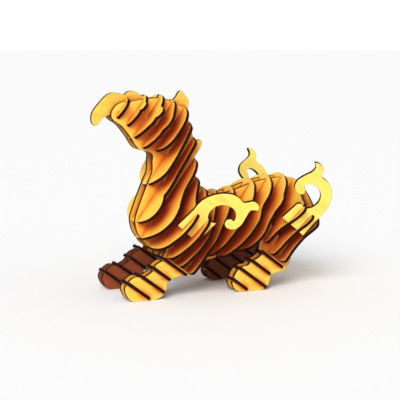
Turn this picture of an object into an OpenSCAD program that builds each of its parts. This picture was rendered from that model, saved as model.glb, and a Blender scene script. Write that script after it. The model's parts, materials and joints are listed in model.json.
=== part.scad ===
// Crouching mythical beast made of flat wooden plates that interlock in halved slots.
// The beast faces -X. Every plate is one laser-cut piece of the same sheet.
//
// Plates are drawn in a tilted working frame: x runs across the ribs, z runs up along
// the ribs, and y is the beast's width. The whole frame then leans back by rib_lean.

/* [Sheet] */
// Thickness of the wooden sheet
sheet = 2; // [1.8:0.1:2.1]
// Play on each side of a plate in its slot
slot_play = 0.05; // [0.03:0.01:0.1]
// Play between the bottoms of two halved slots
seat_play = 0.02; // [0.01:0.01:0.05]

/* [Ribs] */
// Distance from one rib to the next
rib_pitch = 8.1; // [8:0.05:8.2]
// Backward lean of every rib, from vertical
rib_lean = 37; // [35:0.5:39]
// Place of the first rib, across the ribs
first_rib = -101.5; // [-102:0.1:-101]

/* [Body plates] */
// Distance of each profile plate from the middle
profile_y = 4.5; // [4:0.1:5]
// How far the profile plates stay below the tops of the ribs
back_inset = 2.2; // [1.8:0.1:2.6]

/* [Legs] */
// Distance of the inner leg plates from the middle
leg_inner_y = 16; // [15.5:0.1:16.5]
// Distance of the outer leg plates from the middle
leg_outer_y = 23; // [22.5:0.1:23.2]
// How far a paw bar stands out past the outer leg plate
bar_proud = 1.5; // [1:0.1:2]
// How far an outer leg plate reaches up past its top paw bar
outer_rise = 0.8; // [0.7:0.05:0.9]

/* [Scrolls] */
// Outward lean of a scroll plate, from the plane of the legs
scroll_lean = 22.8; // [22:0.1:23]

/* [Colours] */
// Colour of the light faces
wood = "goldenrod"; // [goldenrod, burlywood, tan]
// Colour of the paw bars
bar_wood = "saddlebrown"; // [saddlebrown, sienna, brown]

/* [Hidden] */

near = -1;               // right side of the beast, -Y
far = 1;                 // left side of the beast, +Y
centre_x = 12.63;        // moves the middle of the beast's length to the origin
floor_z = 1.1;           // moves the soles to the origin
curve_steps = 4;         // points that each stretch of a smooth outline gets
slot = sheet + 2 * slot_play;
reach = 60;              // long enough to run a slot out past any edge
bar_pitch = rib_pitch;
front_bar_z = -17.8;     // height of the lowest front paw bar, up the ribs
hind_bar_z = 21.2;       // height of the lowest hind paw bar, up the ribs

// ---------- outlines ----------

// Place of a side-view point [x, z] in the leaning frame
function lean(p) = [
  p[0] * cos(rib_lean) - p[1] * sin(rib_lean),
  p[0] * sin(rib_lean) + p[1] * cos(rib_lean)
];
function leaned(points) = [for (p = points) lean(p)];

// Point at u of the smooth stretch from b to c, with a before and d after
function blend(a, b, c, d, u) =
  0.5 * (2 * b + (c - a) * u + (2 * a - 5 * b + 4 * c - d) * u * u
  + (3 * b - a - 3 * c + d) * u * u * u);

// Smooth closed outline through the points
function smooth(p) = let (n = len(p)) [
  for (i = [0 : n - 1], j = [0 : curve_steps - 1])
    blend(p[(i + n - 1) % n], p[i], p[(i + 1) % n], p[(i + 2) % n], j / curve_steps)
];

// Whole outline from the points of its right half, top first
function mirrored(half) = concat(
  half,
  [for (i = [len(half) - 2 : -1 : 1]) [-half[i][0], half[i][1]]]
);

// ---------- ribs ----------

// Each rib: [number, half outline as [y, z] from the top of the back to the belly]
rib_outlines = [
  [[0, 74.3], [4, 73.4], [7.5, 70], [8.5, 66], [7, 61.5], [4, 58.8], [0, 58]],
  [[0, 82.4], [4.5, 81.6], [8.5, 79], [10.5, 77.6], [13.2, 76.2], [12.9, 73], [10.4, 71.6],
    [11, 69], [9.5, 64], [5, 59.6], [0, 58.4]],
  [[0, 88.4], [6.5, 87.4], [11.5, 84], [14.2, 80.6], [18, 79.8], [21, 77.5], [20, 74],
    [17.4, 72.4], [17.2, 69], [14.3, 64.5], [9, 59], [4, 56], [0, 55.2]],
  [[0, 90.4], [5, 89.8], [11, 86.8], [15.4, 82.7], [19.2, 78.8], [20.4, 75], [19.4, 71.5],
    [17.6, 69.4], [17.4, 66], [14.6, 60.8], [9.5, 56.4], [4, 54.6], [0, 54.2]],
  [[0, 92], [4.5, 91.2], [10, 89.4], [14.4, 86.8], [18, 83], [19.8, 78.5], [20.3, 72],
    [19, 66], [14.5, 61.5], [8, 59], [0, 58.2]],
  [[0, 86.2], [4.5, 85.3], [9, 83.6], [12.4, 81.5], [15, 76], [17.4, 68], [19.4, 59],
    [19.8, 51], [16.5, 45.5], [10.7, 41.4], [5, 39.2], [0, 38.4]],
  [[0, 80.4], [4.5, 79.5], [9, 77.7], [11.6, 75.5], [13.4, 68], [15.5, 56], [17.4, 46],
    [17.6, 41], [17, 38.2], [20, 35.4], [22.3, 31.5], [22.2, 26.2], [18.4, 21.4],
    [11.4, 18.2], [4, 16.5], [0, 16.2]],
  [[0, 70.4], [4.5, 69.4], [9, 68.2], [12.4, 66], [16.2, 61.5], [18, 56], [18.8, 50.8],
    [21.4, 45], [25.4, 39.6], [28.8, 35.2], [30.4, 28], [27, 21], [21.3, 16.4],
    [12.5, 12.2], [4.5, 10], [0, 9.8]],
  [[0, 61.6], [4.5, 61], [9, 59.6], [12.4, 57.4], [16, 53.6], [21, 48.6], [27.5, 43.8],
    [33, 41.6], [37, 39], [38.2, 34.5], [37.8, 29.5], [35.2, 23.2], [30.6, 17.9],
    [26, 13.6], [18.5, 10.3], [9, 9], [0, 8.8]],
  [[0, 59], [6, 58.4], [11, 56.6], [17, 52.6], [24, 47.6], [31, 43.4], [36.6, 40.8],
    [39, 37], [39.2, 32], [38.3, 26.3], [35.1, 20.6], [30.4, 14.7], [25, 10.6], [20, 9],
    [11.5, 8.2], [0, 8]],
  [[0, 62.4], [5, 61.4], [11, 58], [16.8, 52.4], [21, 48], [25, 44], [29.8, 38.8],
    [32.8, 33.5], [33.4, 27.5], [32, 21.5], [28.6, 15], [25.6, 10.4], [22, 8.6],
    [16, 8.3], [8, 8.3], [0, 8.4]],
  [[0, 70.2], [5.5, 69.2], [10.9, 66.4], [15, 60.5], [18.4, 55.6], [21.6, 50],
    [23.8, 43.5], [27, 36], [27.4, 30], [26.6, 23], [26.4, 15], [25, 10], [22, 8.8],
    [17, 8.8], [11, 9.8], [5, 11.6], [0, 12.2]],
  [[0, 81.4], [6, 80.6], [11.5, 78.4], [16.4, 74.8], [21.4, 69.2], [24.3, 63],
    [26.2, 57.2], [26.9, 52], [26.3, 45.5], [24.4, 37], [21, 31], [17, 27.4], [11, 25],
    [5, 24], [0, 23.8]],
  [[0, 90.2], [6, 89.4], [12.6, 86.4], [17.2, 82.8], [20.8, 77], [21.4, 72], [23.2, 67],
    [27.6, 61.8], [29.4, 57], [28.8, 49], [25.6, 41], [21, 35.4], [15.5, 31.2],
    [8, 28.8], [0, 28]],
  [[0, 96.6], [6, 95.8], [11.5, 93.6], [15.8, 90.4], [19.2, 86.2], [21.4, 82.8],
    [24.2, 80.2], [25.2, 75.5], [24.1, 70.8], [25.2, 63.5], [27.6, 56], [26.4, 50],
    [22, 44.2], [15.5, 40.4], [8, 38.8], [0, 38.4]],
  [[0, 98.6], [7, 98.2], [13, 96], [19, 92.6], [25, 88.8], [32, 85.4], [37.6, 82.6],
    [39.6, 79.5], [37.6, 74.6], [32.6, 69.2], [28.2, 65.2], [25.4, 61.4], [23.6, 57],
    [22.4, 53.6], [20.4, 52.4], [17, 52.6], [12, 52.2], [5, 49.8], [0, 49.4]],
  [[0, 97], [7, 96.6], [14, 94.4], [22, 91], [29, 87.6], [35, 83.6], [38.4, 78.8],
    [36.6, 74], [31.4, 67.7], [27.6, 60], [25.6, 54], [23.4, 50], [20.6, 48.7],
    [17, 48.9], [13, 51.5], [9.5, 57], [5, 60.5], [0, 61.2]],
  [[0, 92], [7, 91.6], [14, 89.8], [22, 86.8], [29.5, 83], [34, 78.8], [32.6, 74.6],
    [28, 68], [25.6, 60], [25.2, 54], [24.8, 49.8], [21, 48.7], [17, 48.9],
    [13.4, 51.5], [10.5, 60], [7, 69], [0, 72.5]]
];
rib_count = len(rib_outlines);
front_scroll_ribs = [8, 9];
hind_scroll_ribs = [15, 16];
front_leg_ribs = [9, 10, 11];
hind_leg_ribs = [15, 16, 17];
crest_ribs = [0, 1, 2, 3, 4];
// Height where each inner leg plate and its rib meet at the bottoms of their slots
front_leg_seats = [17, 16.5, 14];
hind_leg_seats = [57.5, 54.5, 53];

function rib_x(i) = first_rib + i * rib_pitch;
function rib_top(i) = rib_outlines[i][0][1];
function rib_bottom(i) = let (h = rib_outlines[i]) h[len(h) - 1][1];
// Height where a profile plate and its rib meet at the bottoms of their slots
function rib_seat(i) = (rib_top(i) + rib_bottom(i)) / 2;
// Height where the crest plate and its head rib meet
function crest_seat(i) = rib_top(i) - 6;

// Holds a plate drawn as [y, z] upright across the beast at the rib's place
module across(x) {
  translate([x - sheet / 2, 0, 0])
    rotate([90, 0, 90])
      linear_extrude(sheet) children();
}

// Slot of one plate's width, centred on y, from z = low to z = high
module slot_2d(at, low, high) {
  translate([at - slot / 2, low]) square([slot, high - low]);
}

module rib_2d(i) {
  difference() {
    polygon(smooth(mirrored(rib_outlines[i])));
    for (side = [near, far])
      slot_2d(side * profile_y, rib_bottom(i) - reach, rib_seat(i) + seat_play / 2);
    for (j = [0 : 2], side = [near, far]) {
      if (i == front_leg_ribs[j])
        slot_2d(side * leg_inner_y, -reach, front_leg_seats[j] + seat_play / 2);
      if (i == hind_leg_ribs[j])
        slot_2d(side * leg_inner_y, -reach, hind_leg_seats[j] + seat_play / 2);
    }
    if (i < len(crest_ribs))
      slot_2d(0, crest_seat(i) - seat_play / 2, rib_top(i) + reach);
  }
}

module rib(i) {
  color(wood) in_place() difference() {
    across(rib_x(i)) rib_2d(i);
    for (side = [near, far]) {
      if (i == front_scroll_ribs[0] || i == front_scroll_ribs[1])
        scroll_channel(side, front_scroll_root);
      if (i == hind_scroll_ribs[0] || i == hind_scroll_ribs[1])
        scroll_channel(side, hind_scroll_root);
    }
  }
}

// Turns the leaning frame into the upright one
module in_place() {
  translate([-centre_x, 0, -floor_z]) rotate([0, rib_lean, 0]) children();
}

// ---------- profile plates ----------

// Front of the face, jaw, throat, chest, belly and rump, in the side view
face_and_belly = leaned([
  [-39.6, 119.2], [-44.6, 117.6], [-47.8, 114.2], [-48.8, 111], [-47.4, 108], [-42, 104.2],
  [-36.4, 97.2], [-33.4, 92.4], [-30.4, 89.6], [-25.1, 88.2], [-22.4, 86.2], [-22.6, 82],
  [-22.8, 76], [-25.4, 70], [-29.6, 60], [-33.2, 50.4], [-34, 45], [-31.4, 37.2],
  [-23.6, 29], [-14, 22.6], [-4, 19], [8, 18.6], [20, 20.2], [33, 24.6], [46, 29.5],
  [57, 33.6], [66, 39], [74, 41.8], [80.6, 41.2], [84.2, 43.8], [84.8, 47.4], [84, 50.6]
]);
// Back between two ribs, from the rump towards the brow, just below the tops of the ribs
function back_line(last, first) =
  [for (i = [last : -1 : first]) [rib_x(i), rib_top(i) - back_inset]];
// Small tuft of the mane, between the second neck rib and the first chest rib
mane_x = (rib_x(6) + rib_x(7)) / 2;
mane_tuft = [
  [mane_x + 2.7, 69.6], [mane_x + 2.6, 75], [mane_x + 1.6, 79.4], [mane_x - 0.6, 80.8],
  [mane_x - 2.4, 78.8], [mane_x - 2.8, 76.6]
];

module profile_2d() {
  difference() {
    polygon(smooth(concat(
      face_and_belly, back_line(rib_count - 1, 7), mane_tuft, back_line(6, 0)
    )));
    for (i = [0 : rib_count - 1])
      slot_2d(rib_x(i), rib_seat(i) - seat_play / 2, rib_top(i) + reach);
  }
}

// Holds a plate drawn as [x, z] along the beast at the given y
module along(y) {
  translate([0, y + sheet / 2, 0])
    rotate([90, 0, 0])
      linear_extrude(sheet) children();
}

module profile(side) {
  color(wood) in_place() along(side * profile_y) profile_2d();
}

// ---------- crest plate: beak, brow and ear ----------

crest_outline = leaned([
  [-59.7, 107.4], [-59.5, 111.6], [-57.6, 115], [-54.6, 118.4], [-50.8, 122.2], [-47, 124],
  [-41.6, 123.6], [-38.8, 122.6], [-37.6, 123.8], [-35.6, 124.8], [-32, 124.6],
  [-28, 122.2], [-22, 120.8], [-14, 120], [-8, 119], [-5.6, 120.4], [-3.4, 123.6],
  [-1.6, 124.2], [1.4, 121], [3.4, 117.4], [1.6, 111], [-3, 108], [-10, 110],
  [-20, 112.4], [-29, 113], [-38, 113.6], [-44, 112.6], [-48.8, 110.6], [-51.8, 109.4],
  [-54.2, 107.2], [-55.6, 105.4], [-58, 104.9]
]);

module crest_plate() {
  color(wood) in_place() along(0) difference() {
    polygon(smooth(crest_outline));
    for (i = crest_ribs)
      slot_2d(rib_x(i), crest_seat(i) - reach, crest_seat(i) + seat_play / 2);
  }
}

// ---------- legs ----------

// Paw, heel and shank of a front leg, in the side view
front_leg_outline = leaned([
  [-47, 11.4], [-48, 8.6], [-46.8, 4.9], [-44.8, 2.4], [-42.2, 1.1], [-32, 1.1],
  [-27.4, 1.4], [-23.6, 3.4], [-21.3, 7], [-20.8, 10.4], [-18.4, 12.8], [-9.4, 14.6],
  [-3, 14.8], [1.5, 17.2], [3.4, 21], [0.4, 25], [-6, 32], [-10, 35.6], [-14.2, 36],
  [-17.8, 32.6], [-19.2, 28.4], [-21.4, 25.2], [-25.2, 23.8], [-28.4, 22], [-30.6, 18.2],
  [-34.6, 15.9], [-38, 15.6], [-41.4, 16], [-44.6, 14.2]
]);
// Paw, heel and shank of a hind leg, in the side view
hind_leg_outline = leaned([
  [23.4, 10.6], [22.4, 6.6], [24.2, 3], [27.6, 1.1], [31, 1.1], [41, 1.1], [44.6, 1.6],
  [47.1, 4], [48.2, 7], [49.4, 10.2], [53, 11.3], [58, 12.2], [62.6, 12.8], [65.2, 15.2],
  [66.4, 18.8], [66.2, 23], [65, 26.6], [63.4, 29.6], [59.4, 31.8], [54.6, 36.8], [51.2, 43], [48.4, 42.6],
  [46, 36.6], [44.4, 29.6], [43, 24.2], [39.6, 21.2], [35.6, 19.8], [33, 17.4],
  [29.4, 17], [26, 14.8]
]);
// Each paw bar: [front end, back end] across the ribs, lowest first
front_bars = [[-45.1, -27.2], [-40.3, -21.5], [-36.7, -22.8], [-34.9, -15.6]];
hind_bars = [[12, 24.4], [12, 34.7], [15.8, 31.9], [19.2, 36.6]];
// How far back each outer leg plate reaches, across the ribs
front_heel = -11;
hind_heel = 39;

// Where a bar and a leg plate meet at the ends of their slots
function bar_seat(bar) = (bar[0] + bar[1]) / 2;

// A leg plate, with slots for its paw bars at the front and for its ribs at the top
module leg_2d(outline, lowest, bars, ribs, seats) {
  difference() {
    intersection() {
      polygon(smooth(outline));
      rotate(rib_lean) translate([-reach * 2, floor_z]) square([reach * 4, reach * 2]);
    }
    for (j = [0 : len(bars) - 1])
      translate([bar_seat(bars[j]) - reach + seat_play / 2,
                 lowest + j * bar_pitch - slot / 2])
        square([reach, slot]);
    for (j = [0 : len(ribs) - 1])
      slot_2d(rib_x(ribs[j]), seats[j] - seat_play / 2, seats[j] + reach);
  }
}

// An outer leg plate holds only the bars: it ends just above the top one, under the ribs
module outer_leg_2d(outline, lowest, bars, heel) {
  top = lowest + (len(bars) - 1) * bar_pitch + sheet / 2 + outer_rise;
  intersection() {
    leg_2d(outline, lowest, bars, [], []);
    translate([heel - reach * 2, top - reach * 2]) square(reach * 2);
  }
}

module front_leg_inner(side) {
  color(wood) in_place() along(side * leg_inner_y)
    leg_2d(front_leg_outline, front_bar_z, front_bars, front_leg_ribs, front_leg_seats);
}

module front_leg_outer(side) {
  color(wood) in_place() along(side * leg_outer_y)
    outer_leg_2d(front_leg_outline, front_bar_z, front_bars, front_heel);
}

module hind_leg_inner(side) {
  color(wood) in_place() along(side * leg_inner_y)
    leg_2d(hind_leg_outline, hind_bar_z, hind_bars, hind_leg_ribs, hind_leg_seats);
}

module hind_leg_outer(side) {
  color(wood) in_place() along(side * leg_outer_y)
    outer_leg_2d(hind_leg_outline, hind_bar_z, hind_bars, hind_heel);
}

// A paw bar lies square to the ribs and is slotted from its back end
module paw_bar(side, bar, height) {
  inner = leg_inner_y - sheet / 2 - bar_proud;
  outer = leg_outer_y + sheet / 2 + bar_proud;
  color(bar_wood) in_place() translate([0, 0, height - sheet / 2])
    linear_extrude(sheet) difference() {
      bar_2d(side, inner, outer, bar);
      for (y = [leg_inner_y, leg_outer_y])
        translate([bar_seat(bar) - seat_play / 2, side * y - slot / 2])
          square([reach, slot]);
    }
}

module bar_2d(side, inner, outer, bar) {
  corner = 0.8;
  low = min(side * inner, side * outer);
  high = max(side * inner, side * outer);
  polygon([
    [bar[0] + corner, low], [bar[1] - corner / 2, low], [bar[1], low + corner / 2],
    [bar[1], high - corner / 2], [bar[1] - corner / 2, high], [bar[0] + corner, high],
    [bar[0], high - corner], [bar[0], low + corner]
  ]);
}

module front_bar(side, j) {
  paw_bar(side, front_bars[j], front_bar_z + j * bar_pitch);
}

module hind_bar(side, j) {
  paw_bar(side, hind_bars[j], hind_bar_z + j * bar_pitch);
}

// ---------- scroll plates ----------

// Where the finger tips of each scroll plate stand: [y, z]
front_scroll_root = [30.5, 26];
hind_scroll_root = [31, 69];
// Height up the plate where a scroll and its rib meet at the bottoms of their slots
scroll_seat = 12.4;

// Curl, crook and leaf of each scroll plate as [x, up the plate]
front_scroll_outline = [
  [-37, 11.4], [-31, 11.4], [-25.4, 12], [-24.4, 16.4], [-26.2, 15.7], [-28.6, 15.3],
  [-31.2, 16.6], [-32.6, 20.4], [-32, 24.6], [-29.8, 27.4], [-26.8, 29.2], [-23, 29.8],
  [-20, 28.8], [-18, 26.8], [-17, 24.2], [-19, 24], [-20.8, 22.2], [-20.4, 19.6],
  [-18, 18.1], [-15.2, 18.5], [-12.6, 20.6], [-11.5, 25], [-12.6, 30], [-13.6, 34.4],
  [-12.8, 36.4], [-10.2, 38], [-10.8, 40.2], [-13.4, 41.4], [-16.4, 41], [-18.6, 38.6],
  [-20.6, 36.8], [-25, 37.4], [-30, 36.4], [-34.6, 33.4], [-38.4, 29.2], [-40.9, 24.2],
  [-41.6, 19.4], [-40.8, 14.4]
];
hind_scroll_outline = [
  [31.8, 11], [32.2, 18], [31.4, 23.6], [28.4, 29.4], [24.2, 33.4], [18.8, 35.3],
  [13.6, 35.5], [12, 38.4], [10.3, 40.4], [6.4, 40.9], [3.8, 39.6], [6.4, 37.6],
  [6.7, 34.4], [4.7, 29.4], [3.4, 25], [4.2, 21.4], [6.2, 19.4], [9.6, 18.4],
  [12.2, 19.2], [12.8, 21.4], [11.2, 23.4], [9.6, 24.2], [10.8, 27.2], [13.8, 28.7],
  [17.6, 28.5], [20.6, 27.2], [22.8, 25.2], [24.2, 22], [23.8, 17.8], [22, 15],
  [19.4, 14], [16.6, 14.6], [14.8, 13.4], [14.4, 10.6], [18, 10.2], [24, 10], [29, 10]
];
// Three fingers at the foot of each scroll plate, square-ended or pointed
front_fingers = [
  [[-41.9, 1.4], [-37.4, 0.8], [-37.4, 16], [-41.2, 16]],
  [[-36, 0.8], [-29, 0.2], [-29, 14], [-36, 14]],
  [[-28.2, 1.6], [-26.6, 0.2], [-24.6, 8], [-24.6, 13], [-28.2, 14]]
];
hind_fingers = [
  [[13.4, 0.4], [19.4, 0], [19.4, 13], [14.3, 13]],
  [[20.6, 0], [27.4, 0], [27.4, 13], [20.6, 13]],
  [[28.6, -0.4], [32.6, -0.7], [31.9, 13], [28.6, 13]]
];

// Stands a plate drawn as [x, up the plate] on its root, leaning outwards
module on_root(side, root) {
  translate([0, side * root[0], root[1]])
    rotate([-side * scroll_lean, 0, 0])
      rotate([90, 0, 0]) translate([0, 0, -sheet / 2])
        linear_extrude(sheet) children();
}

// The space in a rib that a scroll plate fills
module scroll_channel(side, root) {
  translate([0, side * root[0], root[1]])
    rotate([-side * scroll_lean, 0, 0])
      translate([-reach * 2, -slot / 2, scroll_seat - seat_play / 2])
        cube([reach * 4, slot, reach]);
}

module scroll(side, root, outline, fingers, ribs) {
  color(wood) in_place() on_root(side, root) difference() {
    union() {
      polygon(smooth(outline));
      for (finger = fingers) polygon(finger);
    }
    for (i = ribs) slot_2d(rib_x(i), -reach, scroll_seat + seat_play / 2);
  }
}

module front_scroll(side) {
  scroll(side, front_scroll_root, front_scroll_outline, front_fingers, front_scroll_ribs);
}

module hind_scroll(side) {
  scroll(side, hind_scroll_root, hind_scroll_outline, hind_fingers, hind_scroll_ribs);
}

profile(far);  // left_profile
profile(near);  // right_profile
crest_plate();
rib(0);  // head_rib_1
rib(1);  // head_rib_2
rib(2);  // head_rib_3
rib(3);  // head_rib_4
rib(4);  // head_rib_5
rib(5);  // neck_rib_1
rib(6);  // neck_rib_2
rib(7);  // chest_rib_1
rib(8);  // chest_rib_2
rib(9);  // chest_rib_3
rib(10);  // chest_rib_4
rib(11);  // belly_rib_1
rib(12);  // belly_rib_2
rib(13);  // belly_rib_3
rib(14);  // belly_rib_4
rib(15);  // rump_rib_1
rib(16);  // rump_rib_2
rib(17);  // rump_rib_3
front_leg_inner(far);  // left_front_leg_inner
front_leg_outer(far);  // left_front_leg_outer
front_leg_inner(near);  // right_front_leg_inner
front_leg_outer(near);  // right_front_leg_outer
hind_leg_inner(far);  // left_hind_leg_inner
hind_leg_outer(far);  // left_hind_leg_outer
hind_leg_inner(near);  // right_hind_leg_inner
hind_leg_outer(near);  // right_hind_leg_outer
front_bar(far, 0);  // left_front_bar_1
front_bar(far, 1);  // left_front_bar_2
front_bar(far, 2);  // left_front_bar_3
front_bar(far, 3);  // left_front_bar_4
front_bar(near, 0);  // right_front_bar_1
front_bar(near, 1);  // right_front_bar_2
front_bar(near, 2);  // right_front_bar_3
front_bar(near, 3);  // right_front_bar_4
hind_bar(far, 0);  // left_hind_bar_1
hind_bar(far, 1);  // left_hind_bar_2
hind_bar(far, 2);  // left_hind_bar_3
hind_bar(far, 3);  // left_hind_bar_4
hind_bar(near, 0);  // right_hind_bar_1
hind_bar(near, 1);  // right_hind_bar_2
hind_bar(near, 2);  // right_hind_bar_3
hind_bar(near, 3);  // right_hind_bar_4
front_scroll(far);  // left_front_scroll
front_scroll(near);  // right_front_scroll
hind_scroll(far);  // left_hind_scroll
hind_scroll(near);  // right_hind_scroll
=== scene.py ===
import json
import math

import bmesh
import bpy
import numpy as np
from bpy.props import FloatProperty, FloatVectorProperty, IntProperty, PointerProperty
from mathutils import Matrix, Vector
from mathutils.bvhtree import BVHTree
from mathutils.geometry import delaunay_2d_cdt

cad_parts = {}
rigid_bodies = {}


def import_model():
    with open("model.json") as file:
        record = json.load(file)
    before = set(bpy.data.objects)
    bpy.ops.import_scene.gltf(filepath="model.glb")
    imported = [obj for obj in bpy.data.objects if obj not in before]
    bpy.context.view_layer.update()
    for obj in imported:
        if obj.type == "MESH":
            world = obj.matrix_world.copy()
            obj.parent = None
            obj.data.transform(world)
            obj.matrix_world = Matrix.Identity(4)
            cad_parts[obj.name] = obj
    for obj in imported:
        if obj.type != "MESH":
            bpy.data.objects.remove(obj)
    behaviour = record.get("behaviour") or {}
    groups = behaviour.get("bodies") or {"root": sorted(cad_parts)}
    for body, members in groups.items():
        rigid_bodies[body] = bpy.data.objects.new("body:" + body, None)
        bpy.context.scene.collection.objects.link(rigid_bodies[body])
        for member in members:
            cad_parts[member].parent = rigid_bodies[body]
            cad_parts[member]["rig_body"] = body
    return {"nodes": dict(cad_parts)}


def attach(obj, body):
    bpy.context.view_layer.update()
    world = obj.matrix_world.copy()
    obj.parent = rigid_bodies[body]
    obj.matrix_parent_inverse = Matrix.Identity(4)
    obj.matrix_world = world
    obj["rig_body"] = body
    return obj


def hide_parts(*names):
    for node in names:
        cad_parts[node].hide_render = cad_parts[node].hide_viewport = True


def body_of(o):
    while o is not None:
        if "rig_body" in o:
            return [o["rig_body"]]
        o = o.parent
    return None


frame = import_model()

bl_info = {
    "name": "Slot-together wooden beast",
    "version": (1, 0, 0),
    "blender": (4, 5, 0),
    "location": "3D View > Sidebar > Beast",
    "description": "Cuts the plates of a wooden beast and lights them on a pale table",
    "category": "Object",
}

RIB_LEAN = math.radians(37)
UP_RIB = Vector((math.sin(RIB_LEAN), 0, math.cos(RIB_LEAN)))
ACROSS_RIBS = Vector((math.cos(RIB_LEAN), 0, -math.sin(RIB_LEAN)))
LENGTHWAYS = Vector((1, 0, 0))
# Where most of the light in between the plates comes from
DAYLIGHT = Vector((-0.35, 0, 0.94)).normalized()

# Corners of a CAD plate that are closer than this are one
WELD = 2e-6
# From a cut to the row of points beside it
RIM_ROW = 0.00045
# A point of that row nearer than this to a cut is left out
RIM_CLEARANCE = 0.0004
# Share of the spacing that the points inside a face keep from a cut
RIM_SHARE = 0.45
# Height of an even-sided triangle, as a share of its side
TRIANGLE_HEIGHT = 0.866
# How far apart plates of one kind lie in the grain: along, across, layer
SHEET_STEP = (0.031, 0.017, 0.7)
# A ray starts this far off its face
RAY_START = 2e-5
# Points closer than this lie on one sanded corner, and aren't evened out
SAME_CORNER = 0.0003
EVENING_ROUNDS = 2
SANDED_FROM = math.radians(60)
SHARP_FROM = math.radians(35)
FEWEST_FACES = 12

# Noise scales, along the grain, across it and through the sheet
FINE_GRAIN = (90, 2600, 1)
BROAD_GRAIN = (14, 260, 1)
SMOKE = (900, 900, 1)
CHAR_LINES = (3600, 3600, 1)
CHAR_PATCHES = (220, 220, 1)
# The painted highlight beside a cut: where it starts and ends, and how strong it is
PAINTED_HIGHLIGHT_BAND = (0.0004, 0.0026, 0.42)
# Openness at which the painted highlight begins to show and shows in full
PAINTED_HIGHLIGHT_WHERE_OPEN = (0.06, 0.3)

FLOOR_RADIUS = 6
FLOOR_SEGMENTS = 96
LAMP_COLOUR = (1, 0.99, 0.98)
CAMERA_AIM = Vector((-0.0013, 0, 0.055))
SENSOR_WIDTH = 36

# Kind of plate: (part of its node names, direction of the grain, record slot)
PLATE_KINDS = {
    "profile": ("_profile", LENGTHWAYS, "plate_wood"),
    "crest": ("crest_", LENGTHWAYS, "plate_wood"),
    "rib": ("_rib_", UP_RIB, "rib_wood"),
    "leg": ("_leg_", LENGTHWAYS, "plate_wood"),
    "bar": ("_bar_", ACROSS_RIBS, "bars"),
    "scroll": ("_scroll", ACROSS_RIBS, "scroll_wood"),
}


# ---------- what a user would change ----------


class BeastSheetSettings(bpy.types.PropertyGroup):
    soft_edge: FloatProperty(
        name="Softened edge",
        description="Width of the sanded corner along every cut",
        default=0.00012,
        min=0,
        max=0.0003,
        precision=5,
        unit="LENGTH",
    )
    spacing: FloatProperty(
        name="Face spacing",
        description="Distance between the points inside a plate's face",
        default=0.0015,
        min=0.0008,
        max=0.004,
        precision=4,
        unit="LENGTH",
    )
    ray_count: IntProperty(
        name="Rays per point",
        description="How many rays find out how open each point lies",
        default=20,
        min=8,
        max=64,
    )
    open_distance: FloatProperty(
        name="Open distance",
        description="A neighbour further off than this doesn't darken a face",
        default=0.09,
        min=0.005,
        max=0.2,
        unit="LENGTH",
    )
    from_above: FloatProperty(
        name="From above",
        description="Share of a face's lightness that comes only from above",
        default=0.75,
        min=0,
        max=1,
    )
    inward_shade: FloatProperty(
        name="Inward shade",
        description="Share of openness left on the leg faces that look at the other legs",
        default=0.07,
        min=0,
        max=1,
    )


class BeastWoodSettings(bpy.types.PropertyGroup):
    # Pale, golden, amber and russet are the steps of the painted shade, from open faces
    # to deep between the ribs; amber and russet also colour the grain
    pale: FloatVectorProperty(
        name="Pale wood",
        description="Colour of the faces that lie fully open",
        subtype="COLOR",
        default=(0.95, 0.64, 0.08),
        min=0,
        max=1,
    )
    golden: FloatVectorProperty(
        name="Golden wood",
        description="Colour near the edges of the ribs",
        subtype="COLOR",
        default=(0.86, 0.36, 0.028),
        min=0,
        max=1,
    )
    amber: FloatVectorProperty(
        name="Amber wood",
        description="Colour a little way in between the ribs",
        subtype="COLOR",
        default=(0.68, 0.165, 0.016),
        min=0,
        max=1,
    )
    russet: FloatVectorProperty(
        name="Russet wood",
        description="Colour deep between the ribs",
        subtype="COLOR",
        default=(0.56, 0.10, 0.026),
        min=0,
        max=1,
    )
    scroll: FloatVectorProperty(
        name="Scroll wood",
        description="Colour of the curled scroll plates",
        subtype="COLOR",
        default=(0.98, 0.82, 0.14),
        min=0,
        max=1,
    )
    # Besides the burnt line beside every cut, this colour is the darkest step of the
    # painted shade
    scorch_and_deepest_shade: FloatVectorProperty(
        name="Scorch",
        description="Colour of the burnt line beside every cut",
        subtype="COLOR",
        default=(0.16, 0.045, 0.012),
        min=0,
        max=1,
    )
    scorch_width: FloatProperty(
        name="Scorch width",
        description="How far the burnt line reaches in from a cut",
        default=0.0004,
        min=0,
        max=0.002,
        precision=5,
        unit="LENGTH",
    )
    charred: FloatVectorProperty(
        name="Charred edge",
        description="Colour of the cut edges",
        subtype="COLOR",
        default=(0.014, 0.0015, 0.001),
        min=0,
        max=1,
    )


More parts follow.
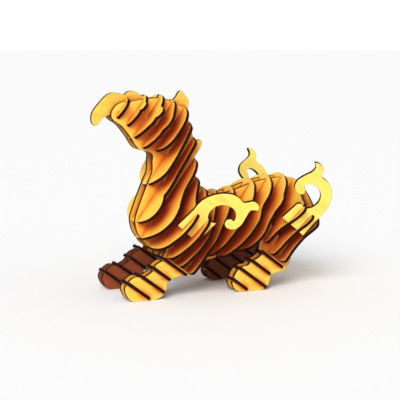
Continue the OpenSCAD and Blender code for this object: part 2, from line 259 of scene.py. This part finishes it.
class BeastStageSettings(bpy.types.PropertyGroup):
    camera_azimuth: FloatProperty(
        name="Camera azimuth",
        description="Where the camera stands round the beast",
        default=math.radians(-24),
        unit="ROTATION",
    )
    camera_elevation: FloatProperty(
        name="Camera elevation",
        description="How high the camera stands above the beast",
        default=math.radians(8),
        unit="ROTATION",
    )
    camera_distance: FloatProperty(
        name="Camera distance",
        description="From the camera to the point it looks at",
        default=0.808,
        min=0.3,
        unit="LENGTH",
    )
    lens: FloatProperty(
        name="Lens",
        description="Focal length of the camera",
        default=117,
        min=20,
        unit="CAMERA",
    )
    floor_colour: FloatVectorProperty(
        name="Floor",
        description="Colour of the table top",
        subtype="COLOR",
        default=(0.97, 0.975, 0.98),
        min=0,
        max=1,
    )
    key_strength: FloatProperty(
        name="Key light",
        description="Strength of the large soft light in front of the beast",
        default=2.5,
        min=0,
    )
    key_direction: FloatVectorProperty(
        name="Key direction",
        description="From the beast towards the key light",
        subtype="DIRECTION",
        default=(-0.5, -0.62, 0.6),
    )
    key_softness: FloatProperty(
        name="Key softness",
        description="How wide the key light looks from the beast",
        default=math.radians(35),
        unit="ROTATION",
    )
    sky_strength: FloatProperty(
        name="Sky",
        description="Strength of the even light from all round",
        default=0.54,
        min=0,
    )
    backdrop: FloatProperty(
        name="Backdrop",
        description="Brightness of the plain backdrop behind the table",
        default=1.0,
        min=0,
        max=1,
    )


# ---------- node helpers ----------


def add(tree, kind, place, **settings):
    """Adds a node at a place in the tree and sets its plain properties"""
    node = tree.nodes.new(kind)
    node.location = place
    for name, value in settings.items():
        setattr(node, name, value)
    return node


def stored(tree, name, place, output="Fac"):
    """A value that is stored on the plate's points"""
    node = add(tree, "ShaderNodeAttribute", place, attribute_name=name)
    return node.outputs[output]


def colour_steps(tree, place, steps):
    """A colour ramp from [position, colour] steps"""
    node = add(tree, "ShaderNodeValToRGB", place)
    ramp = node.color_ramp
    ramp.elements[0].position = steps[0][0]
    ramp.elements[0].color = (*steps[0][1], 1)
    ramp.elements[1].position = steps[-1][0]
    ramp.elements[1].color = (*steps[-1][1], 1)
    for position, colour in steps[1:-1]:
        ramp.elements.new(position).color = (*colour, 1)
    return node


def spread(tree, place, value, low, high, to_low, to_high):
    """The value moved from one span to another, and held inside it"""
    node = add(tree, "ShaderNodeMapRange", place, interpolation_type="SMOOTHSTEP")
    tree.links.new(value, node.inputs["Value"])
    node.inputs["From Min"].default_value = low
    node.inputs["From Max"].default_value = high
    node.inputs["To Min"].default_value = to_low
    node.inputs["To Max"].default_value = to_high
    return node.outputs["Result"]


def mixed(tree, place, factor, under, over, blend="MIX"):
    """Two colours mixed by a factor"""
    node = add(tree, "ShaderNodeMix", place, data_type="RGBA", blend_type=blend)
    sockets = {s.identifier: s for s in node.inputs}
    for socket, value in (
        ("Factor_Float", factor),
        ("A_Color", under),
        ("B_Color", over),
    ):
        if isinstance(value, bpy.types.NodeSocket):
            tree.links.new(value, sockets[socket])
        elif isinstance(value, float):
            sockets[socket].default_value = value
        else:
            sockets[socket].default_value = (*value, 1)
    return {s.identifier: s for s in node.outputs}["Result_Color"]


def sheet_noise(tree, place, scale, detail):
    """Noise laid flat on the sheet, with its own scale along and across the grain"""
    mapping = add(tree, "ShaderNodeMapping", (place[0] - 200, place[1]))
    tree.links.new(
        stored(tree, "sheet_place", (place[0] - 400, place[1]), "Vector"),
        mapping.inputs["Vector"],
    )
    mapping.inputs["Scale"].default_value = scale
    noise = add(tree, "ShaderNodeTexNoise", place, noise_dimensions="3D")
    tree.links.new(mapping.outputs["Vector"], noise.inputs["Vector"])
    noise.inputs["Scale"].default_value = 1
    noise.inputs["Detail"].default_value = detail
    noise.inputs["Roughness"].default_value = 0.55
    return noise.outputs["Fac"]


def new_material(name):
    """An empty node material and its Principled shader"""
    material = bpy.data.materials.new(name)
    material.use_nodes = True
    tree = material.node_tree
    tree.nodes.clear()
    output = add(tree, "ShaderNodeOutputMaterial", (900, 0))
    shader = add(tree, "ShaderNodeBsdfPrincipled", (600, 0))
    tree.links.new(shader.outputs["BSDF"], output.inputs["Surface"])
    return material, tree, shader


def raised(tree, place, height, strength, distance, shader):
    """A small relief on the shader's surface"""
    bump = add(tree, "ShaderNodeBump", place)
    bump.inputs["Strength"].default_value = strength
    bump.inputs["Distance"].default_value = distance
    tree.links.new(height, bump.inputs["Height"])
    tree.links.new(bump.outputs["Normal"], shader.inputs["Normal"])


# ---------- materials ----------


def face_wood(kind, wood):
    """Sawn face of the sheet, with painted shade: pale where it lies open, russet deep
    between the plates
    """
    material, tree, shader = new_material(f"Sheet face, {kind}")
    light = wood.scroll if kind == "scroll" else wood.pale
    golden = wood.scroll if kind == "scroll" else wood.golden
    # Painted shade: the colour steps down from pale where a point lies open to russet and
    # the scorch colour deep between the plates
    tone = colour_steps(
        tree,
        (-500, 300),
        [
            (0.02, wood.scorch_and_deepest_shade),
            (0.1, [c * 0.7 for c in wood.russet]),
            (0.18, wood.russet),
            (0.38, wood.amber),
            (0.6, golden),
            (0.86, light),
        ],
    )
    tree.links.new(stored(tree, "openness", (-800, 300)), tone.inputs["Fac"])

    fine = sheet_noise(tree, (-500, 0), FINE_GRAIN, 3.0)
    broad = sheet_noise(tree, (-500, -250), BROAD_GRAIN, 4.0)
    streaks = spread(tree, (-250, 0), fine, 0.35, 0.7, 0.0, 0.16)
    bands = spread(tree, (-250, -250), broad, 0.38, 0.68, 0.0, 0.22)
    figured = mixed(
        tree, (0, 300), bands, tone.outputs["Color"], wood.amber, "MULTIPLY"
    )
    grained = mixed(tree, (150, 200), streaks, figured, wood.russet)

    rim = stored(tree, "rim", (-600, -650))
    # Painted highlight: a pale band beside each cut, shown only where the face lies open
    painted_highlight_share = add(tree, "ShaderNodeMath", (200, 500), operation="MULTIPLY")
    starts, ends, strength = PAINTED_HIGHLIGHT_BAND
    tree.links.new(
        spread(tree, (0, 450), rim, starts, ends, strength, 0), painted_highlight_share.inputs[0]
    )
    openness = stored(tree, "openness", (-200, 700))
    tree.links.new(
        spread(tree, (0, 700), openness, *PAINTED_HIGHLIGHT_WHERE_OPEN, 0, 1), painted_highlight_share.inputs[1]
    )
    with_painted_highlight = mixed(tree, (250, 300), painted_highlight_share.outputs["Value"], grained, light)
    smoke = sheet_noise(tree, (-500, -500), SMOKE, 2.0)
    burn = add(tree, "ShaderNodeMath", (-250, -500), operation="MULTIPLY")
    tree.links.new(
        spread(tree, (-400, -650), rim, 0, wood.scorch_width, 1, 0),
        burn.inputs[0],
    )
    tree.links.new(spread(tree, (-400, -500), smoke, 0.2, 0.6, 0.55, 1), burn.inputs[1])
    tree.links.new(
        mixed(tree, (350, 100), burn.outputs["Value"], with_painted_highlight, wood.scorch_and_deepest_shade),
        shader.inputs["Base Color"],
    )
    tree.links.new(
        spread(tree, (350, -150), fine, 0.2, 0.8, 0.5, 0.68),
        shader.inputs["Roughness"],
    )
    shader.inputs["Specular IOR Level"].default_value = 0.3
    raised(tree, (350, -350), fine, 0.25, 0.00005, shader)
    return material


def cut_edge(wood):
    """Laser-cut edge: charred, with fine lines across the thickness"""
    material, tree, shader = new_material("Charred cut edge")
    lines = sheet_noise(tree, (-500, 0), CHAR_LINES, 2.0)
    patches = sheet_noise(tree, (-500, -250), CHAR_PATCHES, 3.0)
    brown = [c * 3 + 0.004 for c in wood.charred]
    tone = mixed(
        tree,
        (0, 100),
        spread(tree, (-250, 0), lines, 0.35, 0.7, 0.0, 0.5),
        wood.charred,
        brown,
    )
    worn = spread(tree, (-250, -250), patches, 0.5, 0.75, 0.0, 0.5)
    tree.links.new(
        mixed(tree, (200, 100), worn, tone, brown), shader.inputs["Base Color"]
    )
    tree.links.new(
        spread(tree, (200, -150), lines, 0.2, 0.8, 0.6, 0.85),
        shader.inputs["Roughness"],
    )
    shader.inputs["Specular IOR Level"].default_value = 0.08
    raised(tree, (350, -350), lines, 0.35, 0.00006, shader)
    return material


# ---------- the tree that cuts a plate from the sheet ----------


def sheet_tree():
    """Geometry Nodes tree that thickens a flat outline into a plate"""
    tree = bpy.data.node_groups.new("Cut from sheet", "GeometryNodeTree")
    for name, kind, way in (
        ("Outline", "NodeSocketGeometry", "INPUT"),
        ("Sheet thickness", "NodeSocketFloat", "INPUT"),
        ("Facing", "NodeSocketVector", "INPUT"),
        ("Face", "NodeSocketMaterial", "INPUT"),
        ("Edge", "NodeSocketMaterial", "INPUT"),
        ("Plate", "NodeSocketGeometry", "OUTPUT"),
    ):
        tree.interface.new_socket(name, in_out=way, socket_type=kind)
    link = tree.links.new
    source = add(tree, "NodeGroupInput", (-800, 0))
    extrude = add(tree, "GeometryNodeExtrudeMesh", (-500, 100), mode="FACES")
    extrude.inputs["Individual"].default_value = False
    link(source.outputs["Outline"], extrude.inputs["Mesh"])
    link(source.outputs["Facing"], extrude.inputs["Offset"])
    link(source.outputs["Sheet thickness"], extrude.inputs["Offset Scale"])
    back = add(tree, "GeometryNodeFlipFaces", (-500, -200))
    link(source.outputs["Outline"], back.inputs["Mesh"])
    join = add(tree, "GeometryNodeJoinGeometry", (-250, 0))
    link(back.outputs["Mesh"], join.inputs["Geometry"])
    link(extrude.outputs["Mesh"], join.inputs["Geometry"])
    weld = add(tree, "GeometryNodeMergeByDistance", (-50, 0))
    weld.inputs["Distance"].default_value = 1e-6
    link(join.outputs["Geometry"], weld.inputs["Geometry"])
    faces = add(tree, "GeometryNodeSetMaterial", (150, 0))
    link(weld.outputs["Geometry"], faces.inputs["Geometry"])
    link(source.outputs["Face"], faces.inputs["Material"])
    real = add(tree, "GeometryNodeRealizeInstances", (350, 0))
    link(faces.outputs["Geometry"], real.inputs["Geometry"])
    edges = add(tree, "GeometryNodeSetMaterial", (550, 0))
    link(real.outputs["Geometry"], edges.inputs["Geometry"])
    link(extrude.outputs["Side"], edges.inputs["Selection"])
    link(source.outputs["Edge"], edges.inputs["Material"])
    sink = add(tree, "NodeGroupOutput", (750, 0))
    link(edges.outputs["Geometry"], sink.inputs["Plate"])
    return tree


def shared(kind_of_data, name, make):
    """The named material or tree, made the first time that it is asked for"""
    found = kind_of_data.get(name)
    return found if found is not None else make()


# ---------- outlines read from the CAD plates ----------


def plate_plane(mesh):
    """The way the plate's front faces, its thickness, and its front's outline"""
    bm = bmesh.new()
    bm.from_mesh(mesh)
    bmesh.ops.remove_doubles(bm, verts=bm.verts, dist=WELD)
    totals = {}
    for face in bm.faces:
        key = tuple(round(c, 2) for c in face.normal)
        totals.setdefault(key, Vector())
        totals[key] += face.normal * face.calc_area()
    # Both faces of a plate are the same size, so a tiny share settles the front
    largest = max(totals.values(), key=lambda v: v.length + 1e-9 * v.dot((-1, -1, 1)))
    facing = largest.normalized()
    front = {f for f in bm.faces if f.normal.dot(facing) > 0.999}
    rim = [e for e in bm.edges if sum(f in front for f in e.link_faces) == 1]
    heights = [v.co.dot(facing) for v in bm.verts]
    depth = max(heights) - min(heights)
    number = {}
    points = []
    edges = []
    for edge in rim:
        for vert in edge.verts:
            if vert.index not in number:
                number[vert.index] = len(points)
                points.append(vert.co.copy())
        edges.append((number[edge.verts[0].index], number[edge.verts[1].index]))
    bm.free()
    return facing, depth, points, edges


def distance_to_rim(places, ends):
    """Distance from each place to the nearest of the outline's edges"""
    start, stretch = ends[:, 0], ends[:, 1] - ends[:, 0]
    length = np.maximum((stretch**2).sum(1), 1e-18)
    nearest = np.full(len(places), np.inf)
    for a, d, l in zip(start, stretch, length):
        along = np.clip(((places - a) @ d) / l, 0, 1)
        away = np.linalg.norm(places - a - along[:, None] * d, axis=1)
        nearest = np.minimum(nearest, away)
    return nearest


def inside(places, ends):
    """Whether each place lies inside the outline"""
    crossings = np.zeros(len(places), int)
    for (ax, ay), (bx, by) in ends:
        if ay == by:
            continue
        spans = (places[:, 1] > min(ay, by)) & (places[:, 1] <= max(ay, by))
        at = ax + (places[:, 1] - ay) * (bx - ax) / (by - ay)
        crossings += spans & (at > places[:, 0])
    return crossings % 2 == 1


def flat_outline(name, grain, spacing, number):
    """Flat mesh of a CAD plate's outline on its back plane, in small triangles"""
    facing, depth, points, edges = plate_plane(frame["nodes"][name].data)
    along = (grain - facing * grain.dot(facing)).normalized()
    across = facing.cross(along)
    flat = np.array([(p.dot(along), p.dot(across)) for p in points])
    ends = flat[np.array(edges)]
    level = max(p.dot(facing) for p in points) - depth

    low, high = flat.min(0), flat.max(0)
    columns, rows = np.meshgrid(
        np.arange(low[0], high[0], spacing),
        np.arange(low[1], high[1], spacing * TRIANGLE_HEIGHT),
    )
    columns = columns + (np.arange(len(columns)) % 2)[:, None] * spacing / 2
    grid = np.column_stack([columns.ravel(), rows.ravel()])
    keep = inside(grid, ends) & (distance_to_rim(grid, ends) > spacing * RIM_SHARE)
    middle, way = ends.mean(1), ends[:, 1] - ends[:, 0]
    turned = np.column_stack([-way[:, 1], way[:, 0]])
    turned /= np.maximum(np.linalg.norm(turned, axis=1), 1e-12)[:, None]
    near_rim = np.concatenate([middle + side * RIM_ROW * turned for side in (-1, 1)])
    clear = inside(near_rim, ends) & (distance_to_rim(near_rim, ends) > RIM_CLEARANCE)
    filling = np.concatenate([grid[keep], near_rim[clear]])

    corners = [Vector(p) for p in np.concatenate([flat, filling])]
    places, _, triangles, *_ = delaunay_2d_cdt(corners, edges, [], 1, 1e-7)
    places = np.array(places)
    triangles = np.array(triangles)
    triangles = triangles[inside(places[triangles].mean(1), ends)]

    mesh = bpy.data.meshes.new(name + "_outline")
    solid = [along * x + across * y + facing * level for x, y in places]
    mesh.from_pydata(solid, [], [tuple(int(i) for i in t) for t in triangles])
    if mesh.polygons[0].normal.dot(facing) < 0:
        mesh.flip_normals()
    rim = mesh.attributes.new("rim", "FLOAT", "POINT")
    rim.data.foreach_set("value", distance_to_rim(places, ends).astype(np.float32))
    sheet = mesh.attributes.new("sheet_place", "FLOAT_VECTOR", "POINT")
    along_step, across_step, layer_step = SHEET_STEP
    offset = np.array([along_step * number, across_step * number])
    spot = np.column_stack([places + offset, np.full(len(places), layer_step * number)])
    sheet.data.foreach_set("vector", spot.astype(np.float32).ravel())
    return mesh, facing, depth, level


# ---------- how open each point lies ----------


def all_plates():
    """One search tree over every CAD plate"""
    corners, triangles = [], []
    for node in frame["nodes"].values():
        first = len(corners)
        corners.extend(v.co.copy() for v in node.data.vertices)
        triangles.extend(tuple(first + i for i in p.vertices) for p in node.data.polygons)
    return BVHTree.FromPolygons(corners, triangles)


NEIGHBOURS = all_plates()


def ray_fan(facing, count):
    """Directions over the half of space that a face looks at, denser straight out"""
    side = facing.orthogonal().normalized()
    other = facing.cross(side)
    golden_turn = math.pi * (3 - math.sqrt(5))
    fan = []
    for i in range(count):
        outward = math.sqrt(1 - (i + 0.5) / count)
        sideways = math.sqrt(1 - outward * outward)
        turn = i * golden_turn
        around = side * math.cos(turn) + other * math.sin(turn)
        fan.append(facing * outward + around * sideways)
    return fan


def store_openness(mesh, facing, middle, sheet, shares):
    """Stores on each point the open share of its view, in which above counts for most"""
    count, reach = sheet.ray_count, sheet.open_distance
    fans = {1: ray_fan(facing, count), -1: ray_fan(-facing, count)}
    above = sheet.from_above
    weights = {
        side: [1 - above + 2 * above * max(0.0, ray.dot(DAYLIGHT)) for ray in fan]
        for side, fan in fans.items()
    }
    values = np.zeros(len(mesh.vertices), np.float32)
    for vert in mesh.vertices:
        side = 1 if vert.co.dot(facing) > middle else -1
        start = vert.co + facing * side * RAY_START
        total = 0.0
        for ray, weight in zip(fans[side], weights[side]):
            hit = NEIGHBOURS.ray_cast(start, ray, reach)
            total += weight * (1.0 if hit[0] is None else hit[3] / reach)
        values[vert.index] = shares[side] * total / sum(weights[side])
    # This openness is painted into the face colour as shade: darker between the plates
    # and on faces turned away from above
    openness = mesh.attributes.new("openness", "FLOAT", "POINT")
    openness.data.foreach_set("value", smoothed(mesh, values))


def smoothed(mesh, values):
    """Values evened out over each point's neighbours"""
    edges = np.zeros(len(mesh.edges) * 2, np.int64)
    mesh.edges.foreach_get("vertices", edges)
    a, b = edges.reshape(-1, 2).T
    place = np.zeros(len(mesh.vertices) * 3)
    mesh.vertices.foreach_get("co", place)
    place = place.reshape(-1, 3)
    apart = np.linalg.norm(place[a] - place[b], axis=1) > SAME_CORNER
    a, b = a[apart], b[apart]
    for _ in range(EVENING_ROUNDS):
        total, share = values.astype(float) * 2, np.full(len(values), 2.0)
        np.add.at(total, a, values[b])
        np.add.at(total, b, values[a])
        np.add.at(share, a, 1)
        np.add.at(share, b, 1)
        values = (total / share).astype(np.float32)
    return values


# ---------- cutting a plate ----------


def set_input(modifier, name, value):
    """Sets a named input of a Geometry Nodes modifier by its socket's identifier"""
    for item in modifier.node_group.interface.items_tree:
        if item.item_type == "SOCKET" and item.in_out == "INPUT" and item.name == name:
            modifier[item.identifier] = value
            return
    raise RuntimeError(f"the tree has no input named {name}")


def cut_plate(context, name, kind, number):
    """Cuts one plate from the sheet along its CAD outline and puts it on its body"""
    _, grain, record_slot = PLATE_KINDS[kind]
    sheet, wood = context.scene.beast_sheet, context.scene.beast_wood
    face = shared(
        bpy.data.materials, f"Sheet face, {kind}", lambda: face_wood(kind, wood)
    )
    edge = shared(bpy.data.materials, "Charred cut edge", lambda: cut_edge(wood))
    outline, facing, depth, level = flat_outline(name, grain, sheet.spacing, number)
    plate = bpy.data.objects.new(name + "_plate", outline)
    context.scene.collection.objects.link(plate)

    cutter = plate.modifiers.new("Cut from sheet", "NODES")
    cutter.node_group = shared(bpy.data.node_groups, "Cut from sheet", sheet_tree)
    set_input(cutter, "Sheet thickness", depth)
    set_input(cutter, "Facing", tuple(facing))
    set_input(cutter, "Face", face)
    set_input(cutter, "Edge", edge)
    sanding = plate.modifiers.new("Sanded edges", "BEVEL")
    sanding.width = sheet.soft_edge
    sanding.segments = 1
    sanding.limit_method = "ANGLE"
    sanding.angle_limit = SANDED_FROM
    sanding.material = 1

    context.view_layer.update()
    finished = bpy.data.meshes.new_from_object(
        plate.evaluated_get(context.evaluated_depsgraph_get())
    )
    plate.modifiers.clear()
    plate.data = finished
    finished.name = name + "_plate"
    if len(finished.polygons) < FEWEST_FACES:
        raise RuntimeError(f"{name} came out without its faces")
    finished.set_sharp_from_angle(angle=SHARP_FROM)
    for polygon in finished.polygons:
        polygon.use_smooth = True
    # Share of openness kept on each side; the inward face of a leg gets painted shade and
    # stays dark
    shares = {1: 1.0, -1: 1.0}
    if kind == "leg":
        outward = 1 if facing.y * finished.vertices[0].co.y > 0 else -1
        shares[-outward] = sheet.inward_shade
    store_openness(finished, facing, level + depth / 2, sheet, shares)
    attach(plate, body_of(frame["nodes"][name])[0])
    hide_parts(name)
    return plate


def cut_kind(context, kind):
    """Cuts every plate of one kind"""
    mark = PLATE_KINDS[kind][0]
    names = [n for n in sorted(frame["nodes"]) if mark in n]
    if not names:
        raise RuntimeError(f"the frame has no {kind} plates")
    for number, name in enumerate(names):
        cut_plate(context, name, kind, number)
    return {"FINISHED"}


class BEAST_OT_profiles(bpy.types.Operator):
    """Cut the two long profile plates that carry the body"""

    bl_idname = "beast.profiles"
    bl_label = "Profile plates"

    def execute(self, context):
        return cut_kind(context, "profile")


class BEAST_OT_crest(bpy.types.Operator):
    """Cut the crest plate with the beak, the brow and the ear"""

    bl_idname = "beast.crest"
    bl_label = "Crest plate"

    def execute(self, context):
        return cut_kind(context, "crest")


class BEAST_OT_ribs(bpy.types.Operator):
    """Cut the leaning ribs of the head, neck, chest, belly and rump"""

    bl_idname = "beast.ribs"
    bl_label = "Ribs"

    def execute(self, context):
        return cut_kind(context, "rib")


class BEAST_OT_legs(bpy.types.Operator):
    """Cut the inner and outer plates of the four legs"""

    bl_idname = "beast.legs"
    bl_label = "Leg plates"

    def execute(self, context):
        return cut_kind(context, "leg")


class BEAST_OT_bars(bpy.types.Operator):
    """Cut the bars that cross the paws"""

    bl_idname = "beast.bars"
    bl_label = "Paw bars"

    def execute(self, context):
        return cut_kind(context, "bar")


class BEAST_OT_scrolls(bpy.types.Operator):
    """Cut the curled scroll plates at the shoulders and hips"""

    bl_idname = "beast.scrolls"
    bl_label = "Scroll plates"

    def execute(self, context):
        return cut_kind(context, "scroll")


# ---------- stage ----------


def floor_disc(context, colour):
    """A wide pale table top under the beast"""
    bm = bmesh.new()
    bmesh.ops.create_circle(
        bm, cap_ends=True, segments=FLOOR_SEGMENTS, radius=FLOOR_RADIUS
    )
    mesh = bpy.data.meshes.new("floor")
    bm.to_mesh(mesh)
    bm.free()
    floor = bpy.data.objects.new("floor", mesh)
    context.scene.collection.objects.link(floor)
    material, _, shader = new_material("Pale table top")
    shader.inputs["Roughness"].default_value = 0.8
    shader.inputs["Base Color"].default_value = (*colour, 1)
    mesh.materials.append(material)


def studio_sky(context, strength, backdrop):
    """Even white light from all round, with a plain bright backdrop"""
    world = bpy.data.worlds.new("Studio")
    world.use_nodes = True
    tree = world.node_tree
    tree.nodes.clear()
    output = add(tree, "ShaderNodeOutputWorld", (400, 0))
    choose = add(tree, "ShaderNodeMixShader", (200, 0))
    light_path = add(tree, "ShaderNodeLightPath", (0, 200))
    even = add(tree, "ShaderNodeBackground", (0, 0))
    even.inputs["Color"].default_value = (1, 1, 1, 1)
    even.inputs["Strength"].default_value = strength
    plain = add(tree, "ShaderNodeBackground", (0, -200))
    plain.inputs["Color"].default_value = (1, 1, 1, 1)
    plain.inputs["Strength"].default_value = backdrop
    tree.links.new(light_path.outputs["Is Camera Ray"], choose.inputs[0])
    tree.links.new(even.outputs["Background"], choose.inputs[1])
    tree.links.new(plain.outputs["Background"], choose.inputs[2])
    tree.links.new(choose.outputs["Shader"], output.inputs["Surface"])
    context.scene.world = world


def key_light(context, direction, strength, softness):
    """One broad soft light, even over the whole table"""
    lamp = bpy.data.lights.new("key", "SUN")
    lamp.energy = strength
    lamp.angle = softness
    lamp.color = LAMP_COLOUR
    light = bpy.data.objects.new("key", lamp)
    light.location = Vector(direction)
    light.rotation_mode = "QUATERNION"
    light.rotation_quaternion = (-Vector(direction)).to_track_quat("-Z", "Y")
    context.scene.collection.objects.link(light)


class BEAST_OT_stage(bpy.types.Operator):
    """Set the floor, the lights and the camera"""

    bl_idname = "beast.stage"
    bl_label = "Stage"

    def execute(self, context):
        stage = context.scene.beast_stage
        floor_disc(context, stage.floor_colour)
        studio_sky(context, stage.sky_strength, stage.backdrop)
        key_light(context, stage.key_direction, stage.key_strength, stage.key_softness)

        lens = bpy.data.cameras.new("camera")
        lens.lens = stage.lens
        lens.sensor_width = SENSOR_WIDTH
        lens.clip_start, lens.clip_end = 0.01, 50
        camera = bpy.data.objects.new("camera", lens)
        away = Vector(
            (
                math.sin(stage.camera_azimuth) * math.cos(stage.camera_elevation),
                -math.cos(stage.camera_azimuth) * math.cos(stage.camera_elevation),
                math.sin(stage.camera_elevation),
            )
        )
        camera.location = CAMERA_AIM + away * stage.camera_distance
        camera.rotation_mode = "QUATERNION"
        camera.rotation_quaternion = (-away).to_track_quat("-Z", "Y")
        context.scene.collection.objects.link(camera)
        context.scene.camera = camera
        context.scene.view_settings.view_transform = "Standard"
        return {"FINISHED"}


class BEAST_PT_panel(bpy.types.Panel):
    """Lists the plates of the beast and the stage"""

    bl_idname = "BEAST_PT_panel"
    bl_label = "Wooden beast"
    bl_space_type = "VIEW_3D"
    bl_region_type = "UI"
    bl_category = "Beast"

    def draw(self, context):
        for operator in OPERATORS:
            self.layout.operator(operator.bl_idname)
        for settings in (
            context.scene.beast_sheet,
            context.scene.beast_wood,
            context.scene.beast_stage,
        ):
            box = self.layout.box()
            for name in settings.__annotations__:
                box.prop(settings, name)


SETTINGS = (BeastSheetSettings, BeastWoodSettings, BeastStageSettings)
OPERATORS = (
    BEAST_OT_profiles,
    BEAST_OT_crest,
    BEAST_OT_ribs,
    BEAST_OT_legs,
    BEAST_OT_bars,
    BEAST_OT_scrolls,
    BEAST_OT_stage,
)


def register():
    for item in SETTINGS + OPERATORS + (BEAST_PT_panel,):
        bpy.utils.register_class(item)
    bpy.types.Scene.beast_sheet = PointerProperty(type=BeastSheetSettings)
    bpy.types.Scene.beast_wood = PointerProperty(type=BeastWoodSettings)
    bpy.types.Scene.beast_stage = PointerProperty(type=BeastStageSettings)


def unregister():
    del bpy.types.Scene.beast_stage
    del bpy.types.Scene.beast_wood
    del bpy.types.Scene.beast_sheet
    for item in reversed(SETTINGS + OPERATORS + (BEAST_PT_panel,)):
        bpy.utils.unregister_class(item)


def main():
    """Builds the whole scene"""
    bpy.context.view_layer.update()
    register()
    bpy.ops.beast.profiles()
    bpy.ops.beast.crest()
    bpy.ops.beast.ribs()
    bpy.ops.beast.legs()
    bpy.ops.beast.bars()
    bpy.ops.beast.scrolls()
    bpy.ops.beast.stage()


if __name__ == "__main__":
    main()
